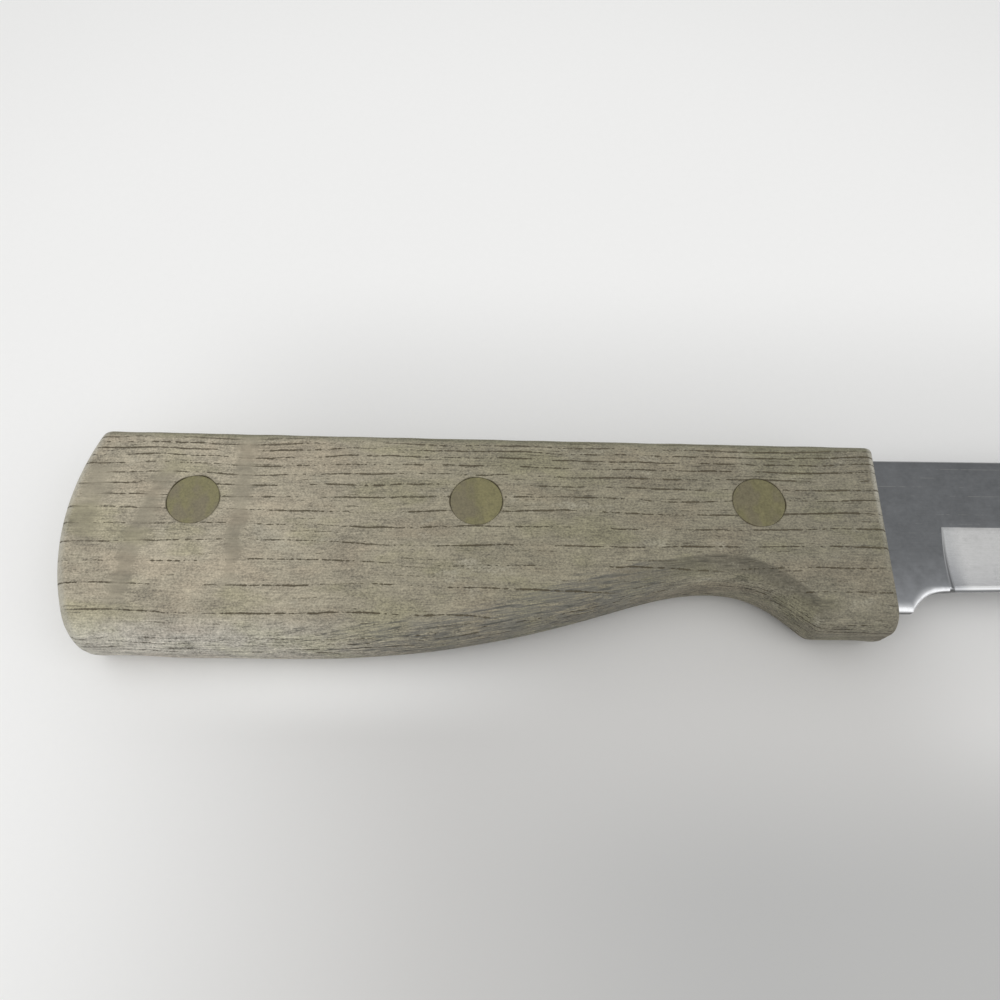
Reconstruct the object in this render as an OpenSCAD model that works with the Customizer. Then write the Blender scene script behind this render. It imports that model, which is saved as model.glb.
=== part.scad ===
// Carving knife with a riveted oak handle, lying on its side.
// X runs from the butt to the tip, Y from the cutting edge to the spine, Z up from the table.

/* [Handle] */
// Length of the handle from the butt to its front
handle_len = 125; // [112:1:140]
// Thickness of the handle between its two flat faces
handle_thick = 11.4; // [10.6:0.2:18]
// Rise of the top of the handle towards the butt
butt_rise = 1.4; // [0:0.1:3]
// Depth of the belly below the spine
belly_depth = 33.2; // [31:0.2:37]
// How far the foot of the butt stands above the foot of the belly
butt_lift = 0.4; // [0:0.1:2]
// Depth of the nose at the front below the spine
front_depth = 29.2; // [27:0.1:31]
// Depth of the top of the finger groove below the spine
groove_depth = 22.4; // [21.5:0.1:24]
// Distance from the front of the handle back to the top of the finger groove
groove_back = 27; // [25:0.5:29]
// Distance from the front of the handle back to where the belly starts to rise
belly_back = 90; // [80:1:96]
// Length of the flat nose under the front of the handle
nose_len = 12.5; // [11:0.1:14]
// How far the foot of the front stands back from its top
front_lean = 1.2; // [0:0.1:3]
// Radius of the curve of the butt, seen from the side
butt_arc = 38; // [36:1:90]
// Depth of the rearmost point of the butt below the spine
butt_peak = 13; // [11:0.1:18]
// Corner between the butt and the belly
butt_corner = 0.5; // [0.4:0.1:4]
// Corner between the front and the nose
nose_corner = 0.4; // [0.3:0.1:3]
// Corners at the two ends of the top
top_corner = 0.5; // [0.4:0.1:2]
// Rounding of the long edges along the top
top_round = 0.9; // [0.5:0.1:3]
// Rounding of the long edges along the belly
belly_round = 5; // [2:0.1:5.4]
// Rounding of the long edges in the finger groove
groove_round = 4.3; // [2:0.1:5.4]
// Rounding of the long edges under the nose
nose_round = 4.4; // [2:0.1:5.4]
// Rounding of the edges round the butt
butt_round = 2; // [0.5:0.1:2.6]
// Rounding of the edges round the front
front_round = 1.6; // [0.4:0.1:2]
// Rounding of the long lower edges where they meet the butt
butt_foot_round = 3.9; // [2.5:0.1:5]
// Rounding of the long lower edges where they meet the front
nose_foot_round = 3.3; // [2:0.1:4]
// Length over which the long lower edges reach their full rounding from the butt
butt_taper = 7.5; // [4:0.5:10]
// Length over which they reach it from the front
nose_taper = 5; // [2.5:0.5:8]

/* [Blade] */
// Length of the blade in front of the handle
blade_len = 203; // [150:1:260]
// Thickness of the steel
blade_thick = 1.8; // [1.4:0.1:3]
// Depth of the heel below the spine
heel_depth = 25.5; // [24.6:0.1:27]
// Length of the flat foot of the heel, in front of the handle
heel_len = 3.1; // [1.5:0.1:4.5]
// Depth of the cutting edge below the spine where it starts
edge_depth = 22.1; // [20:0.1:24]
// Rise of the cutting edge from there to the start of the point
edge_rise = 3.4; // [0:0.1:6]
// Depth of the flat band between the spine and the hollow grind
flat_depth = 11.7; // [8:0.1:14]
// Distance from the handle to the foot of the plunge line of the hollow grind
plunge_at = 9.4; // [8:0.1:13]
// How far the top of the plunge line stands in front of its foot
plunge_lean = 1; // [0:0.1:3]
// Length over which the plunge reaches its full depth
plunge_run = 1.2; // [0.6:0.1:3]
// Thickness of the steel above the sharpened edge
edge_thick = 0.4; // [0.3:0.05:0.6]
// Height of the sharpened bevel
bevel_height = 0.5; // [0.3:0.1:1]
// Length of the curved point
point_len = 62; // [40:1:90]
// Fall of the spine towards the point
point_fall = 2.4; // [0.5:0.1:5]

/* [Tang] */
// Depth of the tang below the top of the handle
tang_depth = 17; // [15.5:0.1:18]
// Distance from the butt to the end of the tang
tang_end = 11.5; // [9:0.5:13]
// Chamfer of the lower corner of the tang
tang_chamfer = 3; // [1:0.5:4]
// Clearance between the tang and the saw kerf round it
kerf_gap = 0.1; // [0.05:0.05:0.3]

/* [Rivets] */
// Diameter of the rivet heads
head_d = 7.94; // [7:0.02:9]
// Thickness of each rivet head
head_thick = 2.2; // [1.6:0.1:3]
// Outer diameter of the hollow shank
socket_d = 4.8; // [4.4:0.1:5.4]
// Diameter of the solid shank that drives into it
post_d = 3; // [2.4:0.1:3.4]
// Distance of the outer rivets from the two ends of the handle
rivet_inset = 19.5; // [18:0.1:24]
// Depth of the front rivet below the spine
rivet_depth = 10; // [9:0.1:11]
// How much lower each rivet sits than the one in front of it
rivet_fall = 0.3; // [0:0.05:0.5]
// Clearance round the shanks and heads
rivet_gap = 0.03; // [0.02:0.01:0.1]

/* [Hidden] */
$fn = 64;
oak = [0.60, 0.57, 0.49];
steel = [0.62, 0.64, 0.66];
brass = [0.48, 0.45, 0.32];
cut = 1;

// The spine lies on Y = 0 and the top of the front of the handle on X = 0 while the parts are built.
mid_x = (blade_len - handle_len) / 2;
mid_y = (butt_rise - belly_depth) / 2;
mid_z = handle_thick / 2;

function lerp(a, b, t) = a + (b - a) * t;
function clamp01(v) = min(1, max(0, v));
function ease(v) = let (u = clamp01(v)) u * u * (3 - 2 * u);
// A point on a cubic Bezier curve
function bez(p, t) = pow(1 - t, 3) * p[0] + 3 * t * pow(1 - t, 2) * p[1]
    + 3 * t * t * (1 - t) * p[2] + pow(t, 3) * p[3];
// How far a round corner of radius r falls short at a distance d from its end
function corner(d, r) = d >= r ? 0 : r - sqrt(max(0, r * r - pow(r - d, 2)));
// Distances from an end at which the handle's sections lie, close together at the end
end_steps = 10;
function end_step(k, reach) = reach * (1 - cos(90 * k / end_steps));

// The curves of the lower outline leave their ends level, over these lengths.
belly_ease = 36.5;
groove_ease = 13;
grip_ease = 6.7;
// The back of the nose comes down to its corner at this slant.
nose_slant = [-4.5, 4.4];
belly_curve = [[-belly_back, -belly_depth], [-belly_back + belly_ease, -belly_depth],
    [-groove_back - groove_ease, -groove_depth], [-groove_back, -groove_depth]];
grip_curve = [[-groove_back, -groove_depth], [-groove_back + grip_ease, -groove_depth],
    [-nose_len, -front_depth] + nose_slant, [-nose_len, -front_depth]];
lift_run = 18;
function belly_y(x) = butt_lift * (1 - ease((x + handle_len) / lift_run)) - belly_depth;
belly_steps = 16;
grip_steps = 12;
lift_steps = 8;
nose_steps = 3;
outline = concat(
    [for (k = [0 : end_steps])
        let (d = end_step(k, butt_taper), x = d - handle_len) [x, corner(d, butt_corner) + belly_y(x)]],
    [for (k = [1 : lift_steps])
        let (x = lerp(butt_taper - handle_len, -belly_back, k / lift_steps)) [x, belly_y(x)]],
    [for (k = [1 : belly_steps]) bez(belly_curve, k / belly_steps)],
    [for (k = [1 : grip_steps]) bez(grip_curve, k / grip_steps)],
    [for (k = [1 : nose_steps]) [lerp(-nose_len, -nose_taper, k / nose_steps), -front_depth]],
    [for (k = [end_steps - 1 : -1 : 0])
        let (d = end_step(k, nose_taper)) [-d, corner(d, nose_corner) - front_depth]]
);

// The top line, and the shape of the two ends as functions of the height
function top_y(x) = -butt_rise * x / handle_len;
function end_loss(x, at_butt, at_front) = corner(x + handle_len, at_butt) + corner(-x, at_front);
function butt_shift(y) = butt_arc - sqrt(butt_arc * butt_arc - pow(y + butt_peak, 2));
function front_shift(y) = front_lean * y / front_depth;
butt_reach = 34;
function slide_x(x, y) = x + butt_shift(y) * (1 - ease((x + handle_len) / butt_reach))
    + front_shift(y) * ease(1 + x / nose_len);

// Rounding of the long lower edges, which changes from the belly to the groove and to the nose,
// and narrows towards both ends of the handle
round_run = 30;
function long_round(x) = lerp(
    lerp(belly_round, groove_round, ease((x + groove_back + groove_ease + round_run) / round_run)),
    nose_round, ease((x + groove_back) / (groove_back - nose_len)));
function low_round(x) = lerp(butt_foot_round,
    lerp(nose_foot_round, long_round(x), ease(-x / nose_taper)), ease((x + handle_len) / butt_taper));

// One side of the section across the handle at x, from the middle of its foot to the middle of its top
low_steps = 6;
top_steps = 3;
side_steps = 6;
least_flat = 0.3;
function half_section(x, foot) =
    let (
        high = top_y(x) - end_loss(x, top_corner, top_corner),
        half = mid_z - end_loss(x, butt_round, front_round),
        low_r = min(low_round(x), half - least_flat),
        top_r = min(top_round, half - least_flat)
    )
    concat(
        [for (k = [0 : low_steps]) let (a = 90 * k / low_steps)
            [foot + low_r * (1 - cos(a)), half - low_r * (1 - sin(a))]],
        [for (k = [1 : side_steps - 1]) [lerp(foot + low_r, high - top_r, k / side_steps), half]],
        [for (k = [0 : top_steps]) let (a = 90 * k / top_steps)
            [high - top_r * (1 - sin(a)), half - top_r * (1 - cos(a))]]
    );
function section(x, foot) =
    let (side = half_section(x, foot), n = len(side))
    concat([for (k = [0 : n - 1]) [slide_x(x, side[k][0]), side[k][0], side[k][1]]],
        [for (k = [n - 1 : -1 : 0]) [slide_x(x, side[k][0]), side[k][0], -side[k][1]]]);

// A closed skin over rings that each run up one side and down the other
module loft(rings) {
    n = len(rings[0]);
    last = (len(rings) - 1) * n;
    polyhedron(
        points = [for (r = rings) for (p = r) p],
        faces = concat(
            [for (k = [0 : n / 2 - 2]) [n - 1 - k, n - 2 - k, k + 1, k]],
            [for (i = [0 : len(rings) - 2]) for (k = [0 : n - 1]) each [
                [i * n + k, i * n + (k + 1) % n, (i + 1) * n + k],
                [i * n + (k + 1) % n, (i + 1) * n + (k + 1) % n, (i + 1) * n + k]
            ]],
            [for (k = [0 : n / 2 - 2]) [last + k, last + k + 1, last + n - 2 - k, last + n - 1 - k]]
        )
    );
}

// Rivets, counted from the front
rivet_count = 3;
rivet_pitch = (handle_len - 2 * rivet_inset) / (rivet_count - 1);
function rivet_x(i) = -rivet_inset - rivet_pitch * i;
function rivet_y(i) = -rivet_depth - rivet_fall * i;

module rivet_holes(d, z0, z1) {
    for (i = [0 : rivet_count - 1])
        translate([rivet_x(i), rivet_y(i), z0])
            cylinder(d = d, h = z1 - z0);
}

// Outline of the tang in the handle, widened by a gap for the kerf and raised above the top by a rise
module tang_outline(gap, rise, front) {
    end_x = tang_end - handle_len - gap;
    foot = -tang_depth - gap;
    polygon([
        [front, rise], [0, rise], [end_x, top_y(end_x) + rise],
        [end_x, foot + tang_chamfer], [end_x + tang_chamfer, foot],
        [front_shift(foot), foot], [front, foot]
    ]);
}

module handle() {
    kerf = blade_thick + 2 * kerf_gap;
    color(oak)
        difference() {
            loft([for (p = outline) section(p[0], p[1])]);
            translate([0, 0, -kerf / 2])
                linear_extrude(kerf)
                    tang_outline(kerf_gap, cut, cut);
            rivet_holes(socket_d + 2 * rivet_gap, -mid_z - cut, mid_z + cut);
            rivet_holes(head_d + 2 * rivet_gap, mid_z - head_thick, mid_z + cut);
            rivet_holes(head_d + 2 * rivet_gap, -mid_z - cut, -mid_z + head_thick);
        }
}

// The blade's lower line: the heel, the hollow curve of the choil, the cutting edge and the point
choil_end = plunge_at;
choil_bend = 2.5;
point_start = blade_len - point_len;
point_bend = 2.3;
tip_y = -point_fall;
function point_share(x) = clamp01((x - point_start) / point_len);
function spine_y(x) = -point_fall * pow(point_share(x), 2);
function edge_y(x) =
    x <= heel_len ? -heel_depth
    : x <= choil_end ? lerp(-edge_depth, -heel_depth,
        pow((choil_end - x) / (choil_end - heel_len), choil_bend))
    : let (low = edge_rise * clamp01((x - choil_end) / (point_start - choil_end)) - edge_depth)
        lerp(low, tip_y, pow(point_share(x), point_bend));
// The grind starts at a level line, which gives way to the rising edge in the point.
grind_share = 0.62;
function grind_y(x) = max(-flat_depth, lerp(spine_y(x), edge_y(x), grind_share));
// Share of the hollow's depth that is reached at x, where u runs from 0 at the grind line to 1 at the edge
plunge_bend = 2;
function ground(x, u) = ease((x - plunge_at - plunge_lean * pow(1 - u, plunge_bend)) / plunge_run);

// One side of the blade's section at x, from the spine down: the flat, the hollow and the bevel
hollow_steps = 8;
hollow_bend = 1.3;
tip_thick = 0.7;
keen = 0.04;
least_step = 0.02;
function blade_side(x) =
    let (
        top = spine_y(x),
        half = lerp(blade_thick, blade_thick * tip_thick, x / blade_len) / 2,
        grind = min(grind_y(x), top - least_step),
        foot = min(edge_y(x), grind - 3 * least_step),
        shoulder = min(foot + bevel_height, grind - least_step)
    )
    concat(
        [[top, half]],
        [for (k = [0 : hollow_steps])
            let (u = k / hollow_steps, thin = lerp(edge_thick / 2, half, pow(1 - u, hollow_bend)))
            [lerp(grind, shoulder, u), lerp(half, thin, ground(x, u))]],
        [[foot, lerp(half, keen, ground(x, 1))]]
    );
function blade_ring(x) =
    let (side = blade_side(x), n = len(side))
    concat([for (k = [n - 1 : -1 : 0]) [x, side[k][0], side[k][1]]],
        [for (k = [0 : n - 1]) [x, side[k][0], -side[k][1]]]);
choil_steps = 8;
plunge_steps = 8;
body_steps = 20;
point_steps = 18;
tip_gap = 0.15;
plunge_end = plunge_at + plunge_lean + plunge_run;
stations = concat(
    [0],
    [for (k = [0 : choil_steps]) lerp(heel_len, choil_end, 1 - cos(90 * k / choil_steps))],
    [for (k = [1 : plunge_steps]) lerp(plunge_at, plunge_end, k / plunge_steps)],
    [for (k = [1 : body_steps]) lerp(plunge_end, point_start, k / body_steps)],
    [for (k = [1 : point_steps]) lerp(point_start, blade_len - tip_gap, sin(90 * k / point_steps))]
);

// The steel between the leaning front of the handle and the plane where the blade's sections start
module shoulder() {
    translate([0, 0, -blade_thick / 2])
        linear_extrude(blade_thick)
            polygon([[0, 0], [0, -heel_depth], [front_shift(-heel_depth), -heel_depth]]);
}

module blade() {
    color(steel)
        difference() {
            union() {
                loft([for (x = stations) blade_ring(x)]);
                shoulder();
                translate([0, 0, -blade_thick / 2])
                    linear_extrude(blade_thick)
                        tang_outline(0, 0, 0);
            }
            rivet_holes(socket_d + 2 * rivet_gap, -blade_thick, blade_thick);
        }
}

// The lower half of a rivet: a head with a hollow shank that reaches through to the other head
module rivet_socket(i) {
    color(brass)
        translate([rivet_x(i), rivet_y(i), -mid_z])
            difference() {
                union() {
                    cylinder(d = head_d, h = head_thick - rivet_gap);
                    cylinder(d = socket_d, h = handle_thick - head_thick - rivet_gap);
                }
                translate([0, 0, head_thick])
                    cylinder(d = post_d + 2 * rivet_gap, h = handle_thick);
            }
}

// The upper half of a rivet: a head with a solid shank that drives into the hollow one
post_clear = 1.5;
module rivet_post(i) {
    color(brass)
        translate([rivet_x(i), rivet_y(i), mid_z])
            mirror([0, 0, 1])
                union() {
                    cylinder(d = head_d, h = head_thick - rivet_gap);
                    cylinder(d = post_d, h = handle_thick - head_thick - post_clear);
                }
}

module placed() {
    translate([-mid_x, -mid_y, mid_z]) children();
}

placed() blade();
placed() handle();
placed() rivet_socket(0);  // front_rivet_socket
placed() rivet_post(0);  // front_rivet_post
placed() rivet_socket(1);  // middle_rivet_socket
placed() rivet_post(1);  // middle_rivet_post
placed() rivet_socket(2);  // rear_rivet_socket
placed() rivet_post(2);  // rear_rivet_post
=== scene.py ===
"""Looks of a carving knife: a grey oak handle, a hollow-ground blade and brass cutlery rivets."""
import math

import bpy
import numpy as np
from mathutils import Matrix, Vector


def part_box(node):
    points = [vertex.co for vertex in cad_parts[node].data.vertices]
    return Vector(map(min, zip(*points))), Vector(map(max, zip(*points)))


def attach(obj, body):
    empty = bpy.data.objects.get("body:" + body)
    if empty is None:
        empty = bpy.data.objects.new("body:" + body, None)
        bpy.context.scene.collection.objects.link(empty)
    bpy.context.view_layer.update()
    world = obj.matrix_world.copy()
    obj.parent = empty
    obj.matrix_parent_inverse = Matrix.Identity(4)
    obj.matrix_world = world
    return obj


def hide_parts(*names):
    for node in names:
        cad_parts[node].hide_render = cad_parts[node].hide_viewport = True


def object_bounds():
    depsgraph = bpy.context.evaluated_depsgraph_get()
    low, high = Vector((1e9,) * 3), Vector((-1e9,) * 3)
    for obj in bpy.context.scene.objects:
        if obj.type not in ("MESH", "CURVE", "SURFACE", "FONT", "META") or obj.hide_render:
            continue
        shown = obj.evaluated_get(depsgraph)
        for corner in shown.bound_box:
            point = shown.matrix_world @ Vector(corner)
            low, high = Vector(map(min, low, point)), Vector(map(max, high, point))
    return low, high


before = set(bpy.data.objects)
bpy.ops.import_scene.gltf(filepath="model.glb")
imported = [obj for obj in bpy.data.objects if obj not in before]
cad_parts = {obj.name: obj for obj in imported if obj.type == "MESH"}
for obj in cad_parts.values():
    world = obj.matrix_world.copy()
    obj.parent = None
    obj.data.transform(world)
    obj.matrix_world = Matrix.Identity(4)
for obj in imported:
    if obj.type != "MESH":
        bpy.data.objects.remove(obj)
CAD_BOX = [list(corner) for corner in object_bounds()]

# The sizes below are in millimetres, from the top of the front of the handle, where the spine leaves it.
MM = 0.001
BLADE_LEN = 203
TIP_GAP = 0.15
BELLY_DEPTH = 33.2
handle_low, handle_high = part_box("handle")
blade_low, blade_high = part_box("blade")
ORIGIN = Vector((blade_high.x - (BLADE_LEN - TIP_GAP) * MM, handle_low.y + BELLY_DEPTH * MM,
                 (handle_low.z + handle_high.z) / 2))
HALF_THICK = (handle_high.z - handle_low.z) / MM / 2
BLADE_HALF = (blade_high.z - blade_low.z) / MM / 2
BOX_LOW, BOX_HIGH = (np.array(CAD_BOX) - np.array(ORIGIN)) / MM


def ease(value):
    """A smooth step from 0 to 1: three squares less two cubes of the value, held between 0 and 1."""
    u = np.clip(value, 0, 1)
    return u * u * (3 - 2 * u)


def lerp(a, b, t):
    """The value a share t of the way from a to b."""
    return a + (b - a) * t


def corner(distance, radius):
    """The fall of a round corner at a distance from its end: its radius less the height of its circle."""
    rest = np.maximum(0, radius**2 - (radius - distance) ** 2)
    return np.where(distance >= radius, 0, radius - np.sqrt(rest))


def bezier(points, steps):
    """A cubic Bezier curve: four points weighed by the Bernstein terms, without its first point."""
    t = np.linspace(0, 1, steps + 1)[1:, None]
    p = np.array(points, float)
    s = 1 - t
    return s**3 * p[0] + 3 * t * s**2 * p[1] + 3 * t**2 * s * p[2] + t**3 * p[3]


def waver(x, share, wave, phase):
    """A slow uneven wave: a share of the mean of three sines whose lengths have no whole ratio."""
    t = x / wave * 2 * math.pi
    sines = np.sin(t + phase) + np.sin(1.618 * t + 2.1 * phase) + np.sin(2.414 * t + 0.7 * phase)
    return share * sines / 3


def grid_faces(rows, columns, closed):
    """The quads between neighbouring rows and columns of a grid of points, as rows of four indices."""
    i, j = np.meshgrid(np.arange(rows - 1), np.arange(columns if closed else columns - 1), indexing="ij")
    k = (j + 1) % columns
    quads = np.stack([i * columns + j, i * columns + k, (i + 1) * columns + k, (i + 1) * columns + j], -1)
    return quads.reshape(-1, 4)


# Angles in degrees over which an edge stays sharp: on every piece, and on the handle once its holes are cut
SHARP, HANDLE_SHARP = 30, 40


def make_mesh(name, points, faces):
    """A smooth-shaded object from points in millimetres, with its sharp edges marked."""
    mesh = bpy.data.meshes.new(name)
    place = np.array(points) * MM + np.array(ORIGIN)
    mesh.from_pydata(place.tolist(), [], [list(face) for face in faces])
    mesh.validate()
    mesh.shade_smooth()
    mesh.set_sharp_from_angle(angle=math.radians(SHARP))
    piece = bpy.data.objects.new(name, mesh)
    bpy.context.scene.collection.objects.link(piece)
    return piece


# The handle, with the same shape as in the construction
HANDLE_LEN = 125
BUTT_RISE = 1.4
BUTT_LIFT = 0.4
LIFT_RUN = 18
FRONT_DEPTH = 29.2
GROOVE_DEPTH = 22.4
GROOVE_BACK = 27
BELLY_BACK = 90
NOSE_LEN = 12.5
FRONT_LEAN = 1.2
BUTT_ARC = 38
BUTT_PEAK = 13
BUTT_REACH = 34
BUTT_CORNER = 0.5
NOSE_CORNER = 0.4
TOP_CORNER = 0.5
TOP_ROUND = 0.9
BELLY_ROUND = 5
GROOVE_ROUND = 4.3
NOSE_ROUND = 4.4
BUTT_ROUND = 2
FRONT_ROUND = 1.6
BUTT_FOOT_ROUND = 3.9
NOSE_FOOT_ROUND = 3.3
BUTT_TAPER = 7.5
NOSE_TAPER = 5
ROUND_RUN = 30
BELLY_EASE = 36.5
GROOVE_EASE = 13
GRIP_EASE = 6.7
NOSE_SLANT = (-4.5, 4.4)
NOSE_HEEL = 1.3
# Least flat width left between the rounded edges
LEAST_FLAT = 0.3
# Unevenness of the rounded edges: share of their size, length of the wave and its phase
LOW_WAVE = (0.03, 31, 1.0)
TOP_WAVE = (0.12, 17, 2.0)
# Points along the outline: each end, the belly, the rise to the groove, the grip in front of it, the nose
# and the bend between these two
END_POINTS, BELLY_POINTS, RISE_POINTS, GRIP_POINTS, NOSE_POINTS, BEND_POINTS = 24, 34, 80, 44, 10, 12
# Points across it: lower rounding, flat face and top rounding, and steps across half of a flat edge
LOW_POINTS, FACE_POINTS, TOP_POINTS, EDGE_STEPS = 15, 50, 7, 3


def top_y(x):
    """The top of the handle, which rises evenly from the front to the butt."""
    return -BUTT_RISE * x / HANDLE_LEN


def belly_y(x):
    """The foot of the belly, which lifts smoothly towards the butt."""
    return BUTT_LIFT * (1 - ease((x + HANDLE_LEN) / LIFT_RUN)) - BELLY_DEPTH


def foot_line():
    """Points along the lower outline: belly, S-shaped rise, finger groove, curve to the nose, and nose."""
    end = 1 - np.cos(np.linspace(0, math.pi / 2, END_POINTS))
    level = np.linspace(BUTT_TAPER, HANDLE_LEN - BELLY_BACK, BELLY_POINTS)[1:]
    belly = np.concatenate([BUTT_TAPER * end, level]) - HANDLE_LEN
    belly = np.stack([belly, belly_y(belly) + corner(belly + HANDLE_LEN, BUTT_CORNER)], 1)
    groove, heel = (-GROOVE_BACK, -GROOVE_DEPTH), (-NOSE_LEN, -FRONT_DEPTH)
    rise = bezier([(-BELLY_BACK, -BELLY_DEPTH), (-BELLY_BACK + BELLY_EASE, -BELLY_DEPTH),
                   (-GROOVE_BACK - GROOVE_EASE, -GROOVE_DEPTH), groove], RISE_POINTS)
    grip = bezier([groove, (-GROOVE_BACK + GRIP_EASE, -GROOVE_DEPTH),
                   (-NOSE_LEN + NOSE_SLANT[0], -FRONT_DEPTH + NOSE_SLANT[1]), heel], GRIP_POINTS)
    nose = np.concatenate([np.linspace(-NOSE_LEN, -NOSE_TAPER, NOSE_POINTS)[1:], -NOSE_TAPER * end[-2::-1]])
    nose = np.stack([nose, corner(-nose, NOSE_CORNER) - FRONT_DEPTH], 1)
    before = grip[np.hypot(*(grip - grip[-1]).T) > NOSE_HEEL]
    after = nose[nose[:, 0] > -NOSE_LEN + NOSE_HEEL]
    bend = bezier([before[-1], grip[-1], grip[-1], after[0]], BEND_POINTS)[:-1]
    return np.concatenate([belly, rise, before, bend, after])


def low_round(x):
    """Rounding of the lower edges: belly to groove to nose, and narrower towards both ends."""
    along = lerp(BELLY_ROUND, GROOVE_ROUND, ease((x + GROOVE_BACK + GROOVE_EASE + ROUND_RUN) / ROUND_RUN))
    along = lerp(along, NOSE_ROUND, ease((x + GROOVE_BACK) / (GROOVE_BACK - NOSE_LEN)))
    along = lerp(NOSE_FOOT_ROUND, along, ease(-x / NOSE_TAPER))
    return lerp(BUTT_FOOT_ROUND, along, ease((x + HANDLE_LEN) / BUTT_TAPER))


def handle_surface():
    """Rings round the handle, one for each point of the foot line.

    Each ring runs from the middle of the foot out to the lower rounding, up the flat face, round the top
    edge and in to the middle of the top, and back down the other side. Its points then slide along the
    handle by the arc of the butt and the lean of the front at their height.
    """
    foot = foot_line()
    x, low = foot[:, :1], foot[:, 1:]
    high = top_y(x) - corner(x + HANDLE_LEN, TOP_CORNER) - corner(-x, TOP_CORNER)
    half = HALF_THICK - corner(x + HANDLE_LEN, BUTT_ROUND) - corner(-x, FRONT_ROUND)
    low_r = np.minimum(low_round(x) * (1 + waver(x, *LOW_WAVE)), half - LEAST_FLAT)
    top_r = TOP_ROUND * (1 + waver(x, *TOP_WAVE))
    a = np.linspace(0, math.pi / 2, LOW_POINTS)[None, :]
    b = np.linspace(0, math.pi / 2, TOP_POINTS)[None, :]
    in_share = np.linspace(0, 1, EDGE_STEPS + 1)[None, :-1]
    back_share = 1 - in_share - 1 / EDGE_STEPS
    up_share = np.linspace(0, 1, FACE_POINTS)[None, 1:-1]
    y = np.concatenate([low + 0 * in_share, low + low_r * (1 - np.cos(a)),
                        lerp(low + low_r, high - top_r, up_share),
                        high - top_r * (1 - np.sin(b)), high + 0 * in_share], 1)
    z = np.concatenate([in_share * (half - low_r), half - low_r * (1 - np.sin(a)),
                        half + 0 * up_share,
                        half - top_r * (1 - np.cos(b)), (half - top_r) * back_share], 1)
    y = np.concatenate([y, y[:, -2:0:-1]], 1)
    z = np.concatenate([z, -z[:, -2:0:-1]], 1)
    butt = BUTT_ARC - np.sqrt(BUTT_ARC**2 - (y + BUTT_PEAK) ** 2)
    butt = butt * (1 - ease((x + HANDLE_LEN) / BUTT_REACH))
    front = FRONT_LEAN * y / FRONT_DEPTH * ease(1 + x / NOSE_LEN)
    return np.stack([x + butt + front, y, z], -1)


def cap_faces(count, level, start, forward):
    """Faces across an end of a ring of points, in strips between its two sides.

    The ring starts in the middle of one edge; as many points as level, on both sides of the middle of
    each edge, lie in one line with it, so they share the outermost face.
    """
    half = count // 2
    k = np.arange(level + 1, half - level - 1)
    quads = np.stack([k, k + 1, count - k - 1, count - k], -1).tolist()
    first = [point % count for point in range(level + 1, -level - 2, -1)]
    last = list(range(half - level - 1, half + level + 2))
    strips = [first[::-1]] + quads + [last]
    return [[start + point for point in (strip[::-1] if forward else strip)] for strip in strips]


def tube(name, rings, level):
    """A closed piece from rings of points, each counterclockwise as seen from behind the first ring.

    The finer curves bulge a few hundredths of a millimetre more than the CAD's facets, so the points are
    held inside the CAD's box.
    """
    rows, columns = rings.shape[:2]
    rings = np.clip(rings, BOX_LOW, BOX_HIGH)
    faces = grid_faces(rows, columns, True)[:, ::-1].tolist()
    faces += cap_faces(columns, level, 0, False) + cap_faces(columns, level, (rows - 1) * columns, True)
    return make_mesh(name, rings.reshape(-1, 3), faces)


# The blade and its tang
HEEL_DEPTH = 25.5
HEEL_LEN = 3.1
CHOIL_BEND = 2.5
EDGE_DEPTH = 22.1
EDGE_RISE = 3.4
FLAT_DEPTH = 11.7
PLUNGE_AT = 9.4
PLUNGE_LEAN = 1.0
PLUNGE_RUN = 1.2
EDGE_THICK = 0.4
BEVEL_HEIGHT = 0.32
POINT_LEN = 62
POINT_START = BLADE_LEN - POINT_LEN
POINT_FALL = 2.4
POINT_BEND = 2.3
GRIND_SHARE = 0.62
TIP_THICK = 0.7
HOLLOW_BEND = 1.3
KEEN = 0.04
TANG_DEPTH = 17
TANG_END = 11.5
TANG_CHAMFER = 3
KERF_GAP = 0.1

# The rivets
HEAD_R = 3.97
HEAD_THICK = 2.2
SOCKET_R = 2.4
POST_R = 1.5
POST_CLEAR = 1.5
RIVET_INSET = 19.5
RIVET_DEPTH = 10
RIVET_FALL = 0.3
RIVET_GAP = 0.03
RIVETS = ("front", "middle", "rear")
# Their heads: rounding of the rim, inwards and down, height of the crown, and width of the rim outside it
HEAD_EDGE, HEAD_DROP = 0.08, 0.09
CROWN, CROWN_EDGE = 0.04, 0.2
# How far the end of a post tapers, inwards and along
POST_TAPER = (0.2, 0.3)
# Points across the rounding of the rim and across the crown, and steps round a rivet
RIM_POINTS, CROWN_POINTS, TURN_STEPS = 6, 12, 96


def rivet_place(index):
    """The centre of a rivet, counted from the front: evenly spaced, each a little lower than the last."""
    pitch = (HANDLE_LEN - 2 * RIVET_INSET) / (len(RIVETS) - 1)
    return -RIVET_INSET - pitch * index, -RIVET_DEPTH - RIVET_FALL * index


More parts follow.
